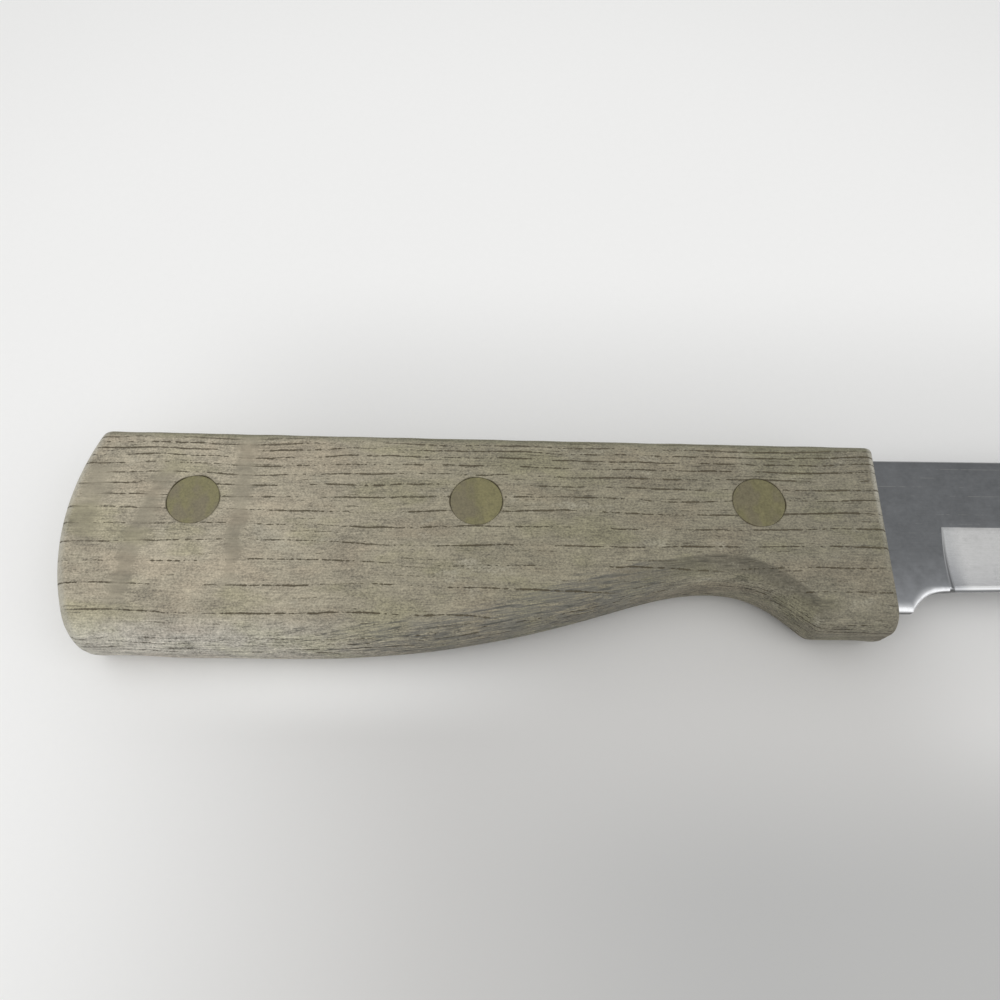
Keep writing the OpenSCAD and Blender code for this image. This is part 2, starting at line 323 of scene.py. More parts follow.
def revolve(name, profile, centre):
    """A profile of (radius, height) points turned about an upright axis; radius 0 closes to a pole."""
    radius, height = np.array(profile, float).T
    steps = TURN_STEPS
    turn = np.linspace(0, 2 * math.pi, steps, endpoint=False)
    inner = slice(1, len(radius) - 1)
    rings = np.stack([centre[0] + radius[inner, None] * np.cos(turn),
                      centre[1] + radius[inner, None] * np.sin(turn),
                      height[inner, None] + 0 * turn], -1)
    count = len(radius) - 2
    points = np.concatenate([rings.reshape(-1, 3), [[*centre, height[0]], [*centre, height[-1]]]])
    faces = grid_faces(count, steps, True).tolist()
    j = np.arange(steps)
    k = (j + 1) % steps
    last = (count - 1) * steps
    faces += np.stack([k, j, 0 * j + count * steps], -1).tolist()
    faces += np.stack([j + last, k + last, 0 * j + count * steps + 1], -1).tolist()
    return make_mesh(name, points, faces)


def combine(piece, other, how):
    """Joins the other solid to the piece, or takes it out of the piece, and removes the other."""
    bpy.context.view_layer.update()
    modifier = piece.modifiers.new("solid", "BOOLEAN")
    modifier.operation = how
    modifier.solver = "EXACT"
    modifier.object = other
    depsgraph = bpy.context.evaluated_depsgraph_get()
    mesh = bpy.data.meshes.new_from_object(piece.evaluated_get(depsgraph))
    piece.modifiers.clear()
    old = piece.data
    piece.data = mesh
    mesh.name = old.name
    bpy.data.meshes.remove(old)
    bpy.data.objects.remove(other)


def tang_points(gap, rise, front):
    """Outline of the tang, widened by a gap for the kerf and raised above the top by a rise."""
    end = TANG_END - HANDLE_LEN - gap
    foot = -TANG_DEPTH - gap
    return [(front, rise), (0, rise), (end, top_y(end) + rise), (end, foot + TANG_CHAMFER),
            (end + TANG_CHAMFER, foot), (front, foot)]


def slab(name, outline, half):
    """A flat slab: an outline carried from one side of the middle plane to the other."""
    count = len(outline)
    points = [(x, y, side * half) for side in (-1, 1) for x, y in outline]
    faces = [list(range(count - 1, -1, -1)), list(range(count, 2 * count))]
    faces += [[k, (k + 1) % count, (k + 1) % count + count, k + count] for k in range(count)]
    return make_mesh(name, points, faces)


# How far the cutting solids reach past a surface
CUT = 1
# How far the tang reaches into the blade, and how far its surface lies below the blade's
JOIN, SKIN = 0.5, 0.01


def make_handle():
    """The oak block, with its saw kerf and its rivet holes."""
    piece = tube("oak_handle", handle_surface(), EDGE_STEPS)
    combine(piece, slab("kerf", tang_points(KERF_GAP, CUT, CUT), BLADE_HALF + KERF_GAP), "DIFFERENCE")
    head, shank, top = HEAD_R + RIVET_GAP, SOCKET_R + RIVET_GAP, HALF_THICK + CUT
    floor = HALF_THICK - HEAD_THICK
    hole = [(0, -top), (head, -top), (head, -floor), (shank, -floor), (shank, floor), (head, floor),
            (head, top), (0, top)]
    for index, name in enumerate(RIVETS):
        combine(piece, revolve(name + "_hole", hole, rivet_place(index)), "DIFFERENCE")
    piece.data.set_sharp_from_angle(angle=math.radians(HANDLE_SHARP))
    return piece


# The round under the heel: how far it reaches up the side of the blade, and across its thickness
RIM_UP = 0.75
RIM_IN = 0.4
# The round of the spine's edges
SPINE_ROUND = 0.2
# The run-out of the plunge line at the top of the hollow, from where it widens evenly to PLUNGE_RUN
RUN_AT_TOP = 0.25
# Least heights of the flat, the ground side and the hollow near the tip
LEAST_BAND, LEAST_SIDE, LEAST_HOLLOW = 0.05, 0.06, 0.02
# The plunge line bends the columns of the grid over this stretch of the blade
BEND_FROM, BEND_FULL, BEND_UNTIL, BEND_END = 4.0, 9.0, 11.5, 17.5
# Rows of points across the spine's round, the flat, the hollow and the rim, and points along the blade
SPINE_ROWS, FLAT_ROWS, HOLLOW_ROWS, RIM_ROWS = 4, 10, 16, 5
CHOIL_POINTS, RUN_POINTS, EDGE_POINTS, TIP_POINTS = 26, 16, 60, 50
# Places of the rings behind the choil, and how far the close rings go on past the plunge line's run-out
HEEL_PLACES = [0, 0.5, 1, 1.6, 2.3]
PAST_RUN = 0.2
# Materials of the blade, in the order of its slots
FLAT, HOLLOW = range(2)


def spine_y(x):
    """The spine: level, then falling by a square law over the point."""
    return -POINT_FALL * np.clip((x - POINT_START) / POINT_LEN, 0, 1) ** 2


def edge_y(x):
    """The lower line: level heel, power curve of the choil, gently rising edge, power curve of the point."""
    choil = np.clip((PLUNGE_AT - x) / (PLUNGE_AT - HEEL_LEN), 0, 1) ** CHOIL_BEND
    rise = EDGE_RISE * np.clip((x - PLUNGE_AT) / (POINT_START - PLUNGE_AT), 0, 1)
    low = rise - lerp(EDGE_DEPTH, HEEL_DEPTH, choil)
    return lerp(low, -POINT_FALL, np.clip((x - POINT_START) / POINT_LEN, 0, 1) ** POINT_BEND)


def blade_stations():
    """Places of the blade's rings: close together at the choil, the plunge line and the point."""
    choil = lerp(HEEL_LEN, PLUNGE_AT, 1 - np.cos(np.linspace(0, math.pi / 2, CHOIL_POINTS)))
    plunge = np.linspace(PLUNGE_AT, PLUNGE_AT + PLUNGE_RUN + PAST_RUN, RUN_POINTS)[1:]
    edge = np.linspace(plunge[-1], POINT_START, EDGE_POINTS)[1:]
    point = lerp(POINT_START, BLADE_LEN - TIP_GAP, np.sin(np.linspace(0, math.pi / 2, TIP_POINTS)))[1:]
    return np.concatenate([HEEL_PLACES, choil, plunge, edge, point])


def blade_surface():
    """Rings round the blade, from the middle of the spine down one side and up the other.

    The side is a small round at the spine, the flat, the hollow, whose thickness falls by a power law of
    the height, and a rim that changes from a round under the heel to the sharpened bevel. The hollow
    starts at the plunge line, whose distance grows with the square of the height.
    """
    x = blade_stations()[:, None]
    top = spine_y(x)
    half = BLADE_HALF * lerp(1, TIP_THICK, x / BLADE_LEN)
    grind = np.minimum(np.maximum(-FLAT_DEPTH, lerp(top, edge_y(x), GRIND_SHARE)), top - LEAST_BAND)
    foot = np.minimum(edge_y(x), grind - LEAST_SIDE)
    u = np.linspace(0, 1, HOLLOW_ROWS)[None, :]
    ground = ease((x - PLUNGE_AT) / lerp(RUN_AT_TOP, PLUNGE_RUN, u))
    sharp = ground[:, -1:]
    rim_top = np.minimum(foot + lerp(RIM_UP, BEVEL_HEIGHT, sharp), grind - LEAST_HOLLOW)
    a = np.linspace(0, math.pi / 2, SPINE_ROWS)[None, :]
    v = np.linspace(0, 1, FLAT_ROWS)[None, 1:-1]
    w = np.linspace(0, 1, RIM_ROWS)[None, 1:]
    thin = lerp(EDGE_THICK / 2, half, (1 - u) ** HOLLOW_BEND)
    spine_r = np.minimum(SPINE_ROUND, (top - grind) / 3)
    hollow_z = lerp(half, thin, ground)
    round_y = lerp(rim_top, foot, np.sin(w * math.pi / 2))
    round_z = half - RIM_IN * (1 - np.cos(w * math.pi / 2))
    y = np.concatenate([top, top - spine_r * (1 - np.cos(a)), lerp(top - spine_r, grind, v),
                        lerp(grind, rim_top, u), lerp(round_y, lerp(rim_top, foot, w), sharp), foot], 1)
    z = np.concatenate([0 * top, half - spine_r * (1 - np.sin(a)), half + 0 * v, hollow_z,
                        lerp(round_z, lerp(hollow_z[:, -1:], KEEN / 2, w), sharp), 0 * top], 1)
    bend = PLUNGE_LEAN * (1 - np.clip((grind - y) / (grind - rim_top), 0, 1)) ** 2
    bend = bend * ease((x - BEND_FROM) / (BEND_FULL - BEND_FROM))
    bend = bend * (1 - ease((x - BEND_UNTIL) / (BEND_END - BEND_UNTIL)))
    front = FRONT_LEAN * y / FRONT_DEPTH * (1 - ease(x / HEEL_LEN))
    across = np.stack([x + bend + front, y, -z], -1)
    back = across[:, -2:0:-1] * [1, 1, -1]
    return np.concatenate([across, back], 1)


def blade_finish(rows, columns):
    """The material of each face of the grid: the hollow's below the grind line, and the flat's elsewhere."""
    row, column = np.meshgrid(np.arange(rows - 1), np.arange(columns), indexing="ij")
    column = np.minimum(column, columns - 1 - column)
    first_hollow = SPINE_ROWS + FLAT_ROWS - 1
    ground = blade_stations()[row] >= PLUNGE_AT - SKIN
    return np.where((column >= first_hollow) & ground, HOLLOW, FLAT).reshape(-1)


def make_blade(materials):
    """The blade with its tang, whose shank holes line up with the handle's."""
    rings = blade_surface()
    piece = tube("ground_blade", rings, 1)
    for material in materials:
        piece.data.materials.append(material)
    finish = blade_finish(*rings.shape[:2])
    ends = len(piece.data.polygons) - len(finish)
    piece.data.polygons.foreach_set("material_index", np.pad(finish, (0, ends), constant_values=FLAT))
    combine(piece, slab("tang", tang_points(0, -2 * SKIN, JOIN), BLADE_HALF - SKIN), "UNION")
    shank = SOCKET_R + RIVET_GAP
    hole = [(0, -CUT), (shank, -CUT), (shank, CUT), (0, CUT)]
    for index, name in enumerate(RIVETS):
        combine(piece, revolve(name + "_shank_hole", hole, rivet_place(index)), "DIFFERENCE")
    return piece


def head_profile():
    """The outer side of a rivet's upper head: its rounded rim, then its slight crown up to the middle."""
    side = HALF_THICK - CROWN - HEAD_DROP
    turn = np.linspace(0, math.pi / 2, RIM_POINTS)
    rim = [(HEAD_R - HEAD_EDGE * (1 - math.cos(t)), side + HEAD_DROP * math.sin(t)) for t in turn]
    radii = np.linspace(HEAD_R - CROWN_EDGE, 0, CROWN_POINTS)
    return rim + [(r, HALF_THICK - CROWN * (r / HEAD_R) ** 2) for r in radii]


def make_post(index, name):
    """The upper half of a rivet: a slightly crowned head on a solid shank with a tapered end."""
    under = HALF_THICK - HEAD_THICK + RIVET_GAP
    end = HALF_THICK - (2 * HALF_THICK - HEAD_THICK - POST_CLEAR)
    shank = [(0, end), (POST_R - POST_TAPER[0], end), (POST_R, end + POST_TAPER[1]), (POST_R, under)]
    return revolve(name + "_post_brass", shank + [(HEAD_R, under)] + head_profile(), rivet_place(index))


def make_socket(index, name):
    """The lower half of a rivet: a slightly crowned head on a hollow shank."""
    top = -HALF_THICK + HEAD_THICK - RIVET_GAP
    mouth = HALF_THICK - HEAD_THICK - RIVET_GAP
    bore = POST_R + RIVET_GAP
    head = [(r, -height) for r, height in reversed(head_profile())]
    shank = [(HEAD_R, top), (SOCKET_R, top), (SOCKET_R, mouth), (bore, mouth), (bore, top), (0, top)]
    return revolve(name + "_socket_brass", head + shank, rivet_place(index))


def seen(red, green, blue):
    """The linear colour of parts written as 0 to 255: a straight foot, and a power of 2.4 above it."""
    parts = (red / 255, green / 255, blue / 255)
    return tuple(v / 12.92 if v <= 0.04045 else ((v + 0.055) / 1.055) ** 2.4 for v in parts)


class Field:
    """A value that a material's nodes work out at each point of a surface; arithmetic on it adds nodes."""

    def __init__(self, tree, socket):
        self.tree = tree
        self.socket = socket

    def node(self, kind, values, **settings):
        """A node with settings and inputs (fields, numbers or colours); gives its first enabled output."""
        node = self.tree.nodes.new(kind)
        for key, value in settings.items():
            setattr(node, key, value)
        for place, value in values.items():
            if isinstance(value, Field):
                self.tree.links.new(value.socket, node.inputs[place])
            else:
                node.inputs[place].default_value = value
        return Field(self.tree, next(out for out in node.outputs if out.enabled))

    def math(self, operation, *others):
        """This value and others, joined by one of the arithmetic node's operations."""
        return self.node("ShaderNodeMath", dict(enumerate((self, *others))), operation=operation)

    def __add__(self, other):
        return self.math("ADD", other)

    def __sub__(self, other):
        return self.math("SUBTRACT", other)

    def __mul__(self, other):
        return self.math("MULTIPLY", other)

    def __truediv__(self, other):
        return self.math("DIVIDE", other)

    def __abs__(self):
        return self.math("ABSOLUTE")

    def step(self, start, end):
        """A smooth step of the value, 0 at start and 1 at end, whichever of them is higher."""
        values = {"Value": self, "From Min": start, "From Max": end}
        return self.node("ShaderNodeMapRange", values, interpolation_type="SMOOTHSTEP")

    def spot(self, centre, reach):
        """A soft bump of the value: 1 at a centre, falling smoothly to 0 at a reach from it."""
        return abs(self - centre).step(reach, 0.0)

    def mix(self, other, share, how="MIX"):
        """This colour, changed towards another by a share; the two are the node's inputs 6 and 7."""
        return self.node("ShaderNodeMix", {0: share, 6: self, 7: other}, data_type="RGBA", blend_type=how)


class Finish:
    """A material with its shader, and the place of a point in millimetres as three fields."""

    def __init__(self, name, metallic=0.0):
        self.material = bpy.data.materials.new(name)
        self.material.use_nodes = True
        self.tree = self.material.node_tree
        self.shader = self.tree.nodes["Principled BSDF"]
        self.shader.inputs["Metallic"].default_value = metallic
        place = Field(self.tree, self.tree.nodes.new("ShaderNodeTexCoord").outputs["Object"])
        place = place.node("ShaderNodeVectorMath", {0: place, 1: ORIGIN}, operation="SUBTRACT")
        place = place.node("ShaderNodeVectorMath", {0: place, "Scale": 1 / MM}, operation="SCALE")
        split = self.tree.nodes.new("ShaderNodeSeparateXYZ")
        self.tree.links.new(place.socket, split.inputs[0])
        self.x, self.y, self.z = (Field(self.tree, out) for out in split.outputs)
        self.depth = self.y * -1.0

    def noise(self, place, detail=2.0, roughness=0.55):
        """Noise about 0, mostly between -0.3 and 0.3, at a place given as three fields or numbers."""
        vector = self.x.node("ShaderNodeCombineXYZ", dict(enumerate(place)))
        values = {"Vector": vector, "Scale": 1.0, "Detail": detail, "Roughness": roughness}
        return self.x.node("ShaderNodeTexNoise", values) - 0.5

    def grain(self, rate, shift=0.0, roughness=0.55):
        """Noise whose rate of change differs along the handle and across it, moved along by a shift."""
        return self.noise((self.x * rate[0] + shift, self.y * rate[1], self.z * rate[1]), 3, roughness)

    def distance(self, x, y):
        """The distance of a point from an upright line at a place."""
        across, along = self.x - x, self.y - y
        return (across * across + along * along).math("SQRT")

    def colour(self, written):
        """A plain colour, written as three parts from 0 to 255, as a field."""
        node = self.tree.nodes.new("ShaderNodeRGB")
        node.outputs[0].default_value = (*seen(*written), 1)
        return Field(self.tree, node.outputs[0])

    def coat(self, colour, written, share, how="MIX"):
        """A colour, covered by a share with another one, written as three parts from 0 to 255."""
        return colour.mix(self.colour(written), share, how)

    def finish(self, colour, roughness, height):
        """Joins the colour, the roughness and a relief, whose height is in millimetres, to the shader."""
        bump = self.x.node("ShaderNodeBump", {"Height": height, "Distance": MM, "Strength": 1.0})
        for place, value in (("Base Color", colour), ("Roughness", roughness), ("Normal", bump)):
            self.tree.links.new(value.socket, self.shader.inputs[place])
        return self.material


# How often the breaks in a row of pores change in a millimetre, for long runs and for crumbled ends
RUN_RATE, CRUMB_RATE = 0.12, 1.1
# Half the width of a row of pores where it fades out
LEAST_PORE = 0.02


def pore_rows(finish, rings, spacing, fill, seed, thick, rough=0.0):
    """Rows of open pores: dashes along the whole numbers of the rings, with broken, tapering ends."""
    row = (rings + 0.5).math("FLOOR")
    off = abs(rings - row) * spacing + rough
    run = finish.noise((finish.x * RUN_RATE, row * 7.3, seed), 2)
    crumb = finish.noise((finish.x * CRUMB_RATE, row * 3.1, seed), 2)
    share = run + crumb * 0.7 + fill
    width = share.step(0.0, 0.25) * thick + LEAST_PORE
    return off.step(width * 1.8, width * 0.2) * share.step(0.0, 0.09)


# How often the oak's noises change in a millimetre, along the grain and across it
CLOUD = (0.07, 0.16)
PATCH = (0.3, 0.45)
FIBRE = (0.12, 2.4)
STREAK = (0.5, 4.6)
SPECK = (3.0, 3.9)
# The rows of pores lie by a logarithm of the depth, so wider apart towards the belly; short ones lie between
RING_RATE = 0.133
RING_COUNT = 8.33
SHORT_ROWS = 2.3
PORE_WIDTH, SHORT_WIDTH = 0.11, 0.06
# On the long edges the rows lie by the height and the depth; fine ones lie between them
EDGE_CLIMB, EDGE_FALL = 1.15, 0.25
EDGE_SPACING, EDGE_WIDTH = 0.8, 0.055
FINE_ROWS, FINE_SPACING, FINE_WIDTH = 2.3, 0.35, 0.04
# The rays: their places along the handle, or in from the butt, and the depths where they fade in and out
UPRIGHT_RAY, UPRIGHT_FOOT = -98.3, (28.0, 20.0)
SLANTED_RAY, SLANTED_TOP, SLANTED_FOOT = -113.8, (3.0, 7.0), (29.0, 25.0)
SLANT, SLANT_FROM = 0.0079, 27.0
REAR_RAY, REAR_TOP, REAR_FOOT = 4.0, (4.0, 6.0), (20.0, 14.0)
# Where the smooth steps that stand for the lower outline leave the belly and reach the nose
RISE_START, NOSE_FULL = -76.0, -12.0
# Where the wood's layers start and end along the handle
MIDDLE_SHADE = (-105.0, -50.0)
FRONT_SHADE = (-55.0, 0.0)
EDGE_SHADE = (-95.0, -50.0)
FOOT_LIGHT_ALONG = (-62.0, -106.0)
STAIN_REAR, STAIN_FRONT = (-95.0, -62.0), (-22.0, -46.0)
LINES_REAR = (-122.0, -75.0)
CREASE_REAR, CREASE_FRONT = (-62.0, -20.0), (-9.0, -12.5)
# Where they start and end across it: in from the lower outline, the top, the face, the butt and the front
FOOT_LIGHT_IN = (5.5, 1.0)
STAIN_IN = (5.2, 2.8)
TOP_SHADE_IN = (1.6, 0.1)
CREASE_IN, CREASE_OUT = (0.002, 0.05), (1.7, 0.1)
BUTT_WEAR_HIGHLIGHT, FRONT_WEAR_HIGHLIGHT = (2.0, 0.8), (-1.5, -0.8)
# Colours of the oak, as three parts from 0 to 255
# The rear, middle and front colours darken the wood towards the front: partly its own tone, partly painted
# shade of the light falling from the butt's side. The edge colour is painted shade on the long edges from
# the middle on.
REAR_WOOD = (161, 153, 134)
MIDDLE_WOOD = (135, 129, 110)
FRONT_WOOD = (110, 106, 92)
EDGE_WOOD = (104, 102, 92)
# Painted light on the belly's lower edge towards the butt
FOOT_LIGHT_WOOD = (187, 183, 173)
RAY_WOOD = (141, 134, 116)
GREEN_TINT = (249, 252, 236)
RED_TINT = (254, 246, 243)
DUST = (177, 173, 156)
STAIN = (96, 96, 93)
STAIN_LINE = (66, 66, 60)
# Painted shade: along the top edge, turned from the light, and in the crease below the face's edge in the
# finger groove
TOP_SHADE = (102, 103, 82)
CREASE_SHADE = (78, 74, 61)
# Pale rims of the butt and the front: painted highlight on their rounded edges
HIGHLIGHT_WOOD = (187, 184, 171)
RIVET_DIRT = (74, 66, 44)
PORE = (68, 59, 39)


class Oak(Finish):
    """Dry grey oak: speckled wood with rows of pores, smooth rays, dust, stains, dirt, worn edges and
    painted light and shade.
    """

    def __init__(self):
        super().__init__("grey_oak")
        self.edge = abs(self.z).step(HALF_THICK - 0.4, HALF_THICK - 2.0)
        self.face = self.edge * -1.0 + 1.0
        self.fibre = self.grain(FIBRE)
        self.streak = self.grain(STREAK)
        self.speck = self.grain(SPECK, 0.0, 0.75)
        self.cloud = self.grain(CLOUD)
        self.patch = self.grain(PATCH, 5.0, 0.65)
        self.from_top = self.depth - self.x * (BUTT_RISE / HANDLE_LEN)
        self.from_foot = self.foot_depth() - self.depth
        self.from_butt = self.butt_distance()
        self.ray = self.rays() * self.face
        self.plain = self.ray * -0.75 + 1.0

    def foot_depth(self):
        """The depth of the lower outline, as smooth steps from the belly to the groove and to the nose."""
        groove = self.x.step(RISE_START, -GROOVE_BACK) * (GROOVE_DEPTH - BELLY_DEPTH) + BELLY_DEPTH
        return groove + self.x.step(-GROOVE_BACK, NOSE_FULL) * (FRONT_DEPTH - GROOVE_DEPTH)

    def butt_distance(self):
        """The distance in from the arc of the butt, with the handle's length added past its centre."""
        centre = BUTT_ARC - HANDLE_LEN
        in_front = (self.x - centre).step(-20.0, -5.0)
        return self.distance(centre, -BUTT_PEAK) * -1.0 + BUTT_ARC + in_front * HANDLE_LEN

    def rays(self):
        """Smooth rays near the butt: one upright, one slanted, and one along the arc of the butt."""
        depth = self.depth
        ragged = self.patch * 3.0 + self.speck * 0.8
        sway = self.noise((7.0, depth / 5, 1.0), 2) * 3.0
        upright = (abs(self.x - sway - UPRIGHT_RAY) + ragged).step(depth * -0.05 + 2.6, 0.6)
        above = depth - SLANT_FROM
        slanted = abs(self.x - above * above * SLANT - sway * 0.6 - SLANTED_RAY)
        slanted = (slanted + ragged).step(depth * -0.05 + 3.2, 0.6)
        slanted = slanted * depth.step(*SLANTED_TOP) * depth.step(*SLANTED_FOOT)
        rear = (abs(self.from_butt + sway - REAR_RAY) + ragged).step(3.0, 0.8)
        rear = rear * depth.step(*REAR_TOP) * depth.step(*REAR_FOOT)
        return (upright * depth.step(*UPRIGHT_FOOT)).math("MAXIMUM", slanted).math("MAXIMUM", rear)

    def pores(self):
        """The pores: rows by the depth on the faces, and by the height and the depth on the long edges."""
        x, depth, z = self.x, self.depth, self.z
        drift = self.noise((x / 30, depth / 14, z / 14), 1) * 2.4
        wobble = self.noise((x / 5, depth / 3, z / 3), 2) * 0.5
        level = depth + drift + wobble
        rings = (level * RING_RATE + 1.0).math("LOGARITHM", math.e) * RING_COUNT
        spacing = level * (1 / RING_COUNT) + 1 / (RING_RATE * RING_COUNT)
        rough = self.streak * 0.12 + self.speck * 0.16
        rows = pore_rows(self, rings, spacing, 0.09, 3.0, PORE_WIDTH, rough)
        between = rings * SHORT_ROWS + 0.37
        short = pore_rows(self, between, spacing / SHORT_ROWS, -0.07, 9.0, SHORT_WIDTH, rough)
        slope = z * EDGE_CLIMB - depth * EDGE_FALL + drift * 0.8 + wobble
        side = pore_rows(self, slope + self.streak * 0.5, EDGE_SPACING, 0.02, 5.0, EDGE_WIDTH, rough)
        between = slope * FINE_ROWS + self.streak * 2.0
        fine = pore_rows(self, between, FINE_SPACING, -0.12, 6.0, FINE_WIDTH, rough * 0.6)
        on_face = rows.math("MAXIMUM", short * 0.6) * self.face
        on_edge = side.math("MAXIMUM", fine * 0.5) * self.edge
        below_top = (self.from_top.step(0.4, 1.8) * 0.6 + 0.4).math("MAXIMUM", self.edge)
        return on_face.math("MAXIMUM", on_edge) * self.plain * below_top

    def wood(self):
        """The clean wood: darker to the front, partly as painted shade, painted light along its foot,
        speckled, tinted and dusty.
        """
        x, patch, speck, plain = self.x, self.patch, self.speck, self.plain
        # Darker towards the front: partly the wood's own tone, partly painted shade; the long edges darker
        # from the middle on: painted shade
        colour = self.coat(self.colour(REAR_WOOD), MIDDLE_WOOD, (x + patch * 30.0).step(*MIDDLE_SHADE))
        colour = self.coat(colour, FRONT_WOOD, (x + patch * 20.0).step(*FRONT_SHADE) * 0.5)
        colour = self.coat(colour, EDGE_WOOD, self.edge * x.step(*EDGE_SHADE) * 0.15)
        # Painted light: the belly's lower edge paler towards the lower outline and the butt
        foot_light = self.from_foot.step(*FOOT_LIGHT_IN) * (x + self.cloud * 30.0).step(*FOOT_LIGHT_ALONG)
        colour = self.coat(colour, FOOT_LIGHT_WOOD, foot_light * 0.75)
        colour = self.coat(colour, RAY_WOOD, self.ray * 0.55)
        comb = self.noise((x * 0.2, self.depth * 0.5, self.z * 8.0), 3, 0.75) * self.edge
        tone = speck * (plain + self.edge * 0.2) * 2.2 + patch + self.cloud * 0.6 + comb * 2.6
        tone = tone + self.streak * plain * 0.9 + self.fibre * 0.5 + 1.0
        colour = colour.mix(tone, 1.0, "MULTIPLY")
        tint = self.grain(CLOUD, 40.0)
        colour = self.coat(colour, GREEN_TINT, tint.step(0.0, 0.15) * 0.6, "MULTIPLY")
        colour = self.coat(colour, RED_TINT, tint.step(0.0, -0.15) * 0.45, "MULTIPLY")
        dust = self.grain(PATCH, 90.0, 0.7) + self.grain(CLOUD, 70.0) * 0.8
        return self.coat(colour, DUST, dust.step(0.08, 0.3) * (speck * 3.0 + 0.5) * 0.5 * plain)

    def stained(self, colour):
        """A colour with a grey stain along the foot, and with dark lines that rise slowly to the front."""
        x, patch = self.x, self.patch
        slant = self.noise((x * 0.2, (self.depth + x * 0.17) * 4.5, self.z * 4.0), 3, 0.65)
        low = (self.from_foot + patch * 3.0).step(*STAIN_IN) * (x + patch * 20.0).step(*STAIN_FRONT)
        stain = low * (x + patch * 20.0).step(*STAIN_REAR) * (slant * 5.0 + patch * 3.0 + 0.65)
        colour = self.coat(colour, STAIN, stain.step(0.0, 1.0) * 0.65)
        lines = slant.step(0.04, 0.16) * low * x.step(*LINES_REAR)
        return self.coat(colour, STAIN_LINE, lines * 0.75)

    def painted_shade(self, colour):
        """A colour with painted shade along the top and below the face's edge in the finger groove."""
        x, patch = self.x, self.patch
        # Painted shade along the top, and in the crease where the groove's wall leaves the face
        colour = self.coat(colour, TOP_SHADE, self.from_top.step(*TOP_SHADE_IN) * (self.face * 0.5 + 0.15))
        below_face = abs(self.z) * -1.0 + HALF_THICK
        crease = below_face.step(*CREASE_IN) * below_face.step(*CREASE_OUT) * self.depth.step(14.0, 16.0)
        crease = crease * (x + patch * 10.0).step(*CREASE_REAR) * (x + patch * 3.0).step(*CREASE_FRONT)
        return self.coat(colour, CREASE_SHADE, crease * (patch * 1.5 + self.streak * 2.5 + 0.65))

    def wear_and_highlight(self):
        """The share of pale rim, wear with a painted highlight: along the rim of the butt, and on the upper
        part of the front's.
        """
        from_front = self.x + self.depth * (FRONT_LEAN / FRONT_DEPTH)
        front = from_front.step(*FRONT_WEAR_HIGHLIGHT) * self.depth.step(24.0, 4.0)
        return (self.from_butt + self.streak).step(*BUTT_WEAR_HIGHLIGHT).math("MAXIMUM", front)

    def ringed(self, colour):
        """A colour with an uneven line of dirt round each rivet."""
        for index in range(len(RIVETS)):
            rim = self.distance(*rivet_place(index)).spot(HEAD_R + 0.06, 0.2)
            side = self.noise((self.x / 3 + 3.0 * index, self.depth / 3, 2.0), 0)
            colour = self.coat(colour, RIVET_DIRT, rim * (side * 4.0 + 0.5))
        return colour

    def dressed(self):
        """The material, with all its layers from the clean wood to the pores."""
        speck, pores, wear_and_highlight = self.speck, self.pores(), self.wear_and_highlight()
        colour = self.painted_shade(self.stained(self.wood()))
        # Painted highlight on the rounded rims; their wear only makes them smoother
        colour = self.coat(colour, HIGHLIGHT_WOOD, wear_and_highlight * (speck * 1.5 + self.patch + 0.7) * 0.8)
        colour = self.coat(self.ringed(colour), PORE, pores * 0.9)
        roughness = speck * 0.3 + pores * 0.15 - wear_and_highlight * 0.12 + 0.68
        height = speck * 0.05 * self.plain + self.streak * 0.03 + self.fibre * 0.02 - pores * 0.1
        return self.finish(colour, roughness, height)


# Colours of the steel and the brass, as three parts from 0 to 255
FLATS = (113, 115, 117)
HEEL_FLATS = (150, 152, 155)
SCRATCHES = (160, 160, 156)
SPINE_GLEAM = (190, 191, 190)
EDGE_GLEAM = (222, 223, 225)
# Painted shade on the heel's narrow underside, which faces the table
UNDERSIDE_SHADE = (84, 85, 87)
HOLLOWS = (197, 197, 196)
LOW_HOLLOW = (180, 181, 183)
REAR_HOLLOW = (172, 175, 176)
PLUNGE_SHADE = (138, 139, 143)
BEVEL_GLEAM = (226, 227, 229)
# Painted shade: the dark line of the bevel at the very edge
BEVEL_SHADE = (100, 101, 102)
OLIVE = (120, 115, 82)
TAUPE = (116, 109, 87)
BRIGHT_BRASS = (136, 130, 90)
SHADY_BRASS = (98, 93, 66)
PITS = (88, 80, 54)


def steel(name, metallic_colour, rough, mottle):
    """A steel finish with its shade, blotches and fine marks of brushing along the blade."""
    finish = Finish(name, 1.0)
    x, y, z = finish.x, finish.y, finish.z
    blotch = finish.noise((x * 0.3, y * 0.3, z * 0.3), 3, 0.6)
    cloud = finish.noise((x * 1.3, y * 1.5, z), 3, 0.65)
    lines = finish.noise((x * 0.3, y * 9.0, z * 9.0), 2)
    tone = blotch * mottle + cloud * mottle * 0.7 + lines * mottle * 0.4 + 1.0
    shade = finish.colour(metallic_colour).mix(tone, 1.0, "MULTIPLY")
    return finish, shade, cloud * 0.2 + lines * 0.08 + rough, lines * 0.003 + cloud * 0.002


def edge_gap(finish):
    """The height of a point of the blade above its lower line, by the same curves as in the shape."""
    choil, point = finish.x - PLUNGE_AT, finish.x - POINT_START
    choil = (choil * (-1 / (PLUNGE_AT - HEEL_LEN))).math("MAXIMUM", 0.0).math("MINIMUM", 1.0)
    point = (point * (1 / POINT_LEN)).math("MAXIMUM", 0.0).math("MINIMUM", 1.0).math("POWER", POINT_BEND)
    rise = (finish.x - PLUNGE_AT) * (EDGE_RISE / (POINT_START - PLUNGE_AT))
    low = choil.math("POWER", CHOIL_BEND) * (HEEL_DEPTH - EDGE_DEPTH) + EDGE_DEPTH
    low = low - rise.math("MAXIMUM", 0.0).math("MINIMUM", EDGE_RISE)
    return low + point * (low * -1.0 + POINT_FALL) + finish.y


